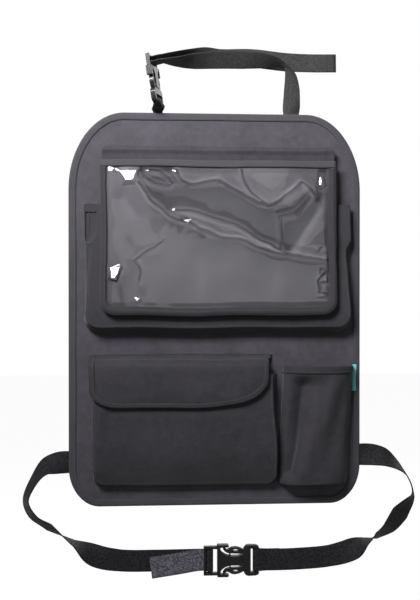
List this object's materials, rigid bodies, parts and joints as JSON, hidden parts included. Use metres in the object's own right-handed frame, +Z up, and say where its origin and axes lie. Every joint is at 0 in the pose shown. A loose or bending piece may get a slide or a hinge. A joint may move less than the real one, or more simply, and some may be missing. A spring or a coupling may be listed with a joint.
{
  "type": "car seat back organizer",
  "caption": "Bound cloth panel that straps to the back of a car seat, with a clear tablet sleeve, a large pocket behind it, a flap pocket and a bottle pocket.",
  "frame": {"origin": "middle of the panel's back face, the face that lies against the seat", "axes": "+Z up along the panel, +X to the right seen from the front, +Y backwards into the seat, so the pockets face -Y"},
  "size_m": [0.5393, 0.0444, 0.7219],
  "materials": {
    "black_cloth": "plain-weave coated polyester, matt",
    "lining": "plain-weave polyester, matt",
    "stiffener": "stiff board sewn in between the cloths",
    "binding_tape": "ribbed woven tape, matt",
    "clear_film": "clear soft film, glossy, slightly wavy",
    "webbing": "ribbed woven strap, matt",
    "buckle_plastic": "moulded black plastic, satin gloss",
    "hook_and_loop": "hook-and-loop tape",
    "teal_ribbon": "satin ribbon, bare"
  },
  "bodies": {
    "root": {"panel_face": "black_cloth", "panel_board": "stiffener", "panel_lining": "lining", "edge_binding": "binding_tape", "upper_pocket_front": "black_cloth", "upper_pocket_gusset": "black_cloth", "upper_pocket_hem": "binding_tape", "sleeve_back": "black_cloth", "sleeve_front_frame": "black_cloth", "sleeve_window": "clear_film", "sleeve_edge_binding": "binding_tape", "sleeve_mouth_hem": "binding_tape", "sleeve_hook_tape": "hook_and_loop", "sleeve_loop_tape": "hook_and_loop", "flap_pocket_front": "black_cloth", "flap_pocket_gusset": "black_cloth", "flap_pocket_hem": "binding_tape", "pocket_flap": "black_cloth", "flap_binding": "binding_tape", "flap_hook_tape": "hook_and_loop", "flap_loop_tape": "hook_and_loop", "bottle_pocket_wall": "black_cloth", "bottle_pocket_base": "black_cloth", "bottle_pocket_hem": "binding_tape", "side_tag": "teal_ribbon", "upper_strap_long": "webbing", "upper_strap_short": "webbing", "upper_buckle_female": "buckle_plastic", "upper_buckle_male": "buckle_plastic", "lower_strap_left": "webbing", "lower_strap_right": "webbing", "lower_buckle_female": "buckle_plastic", "lower_buckle_male": "buckle_plastic"}
  },
  "joints": []
}
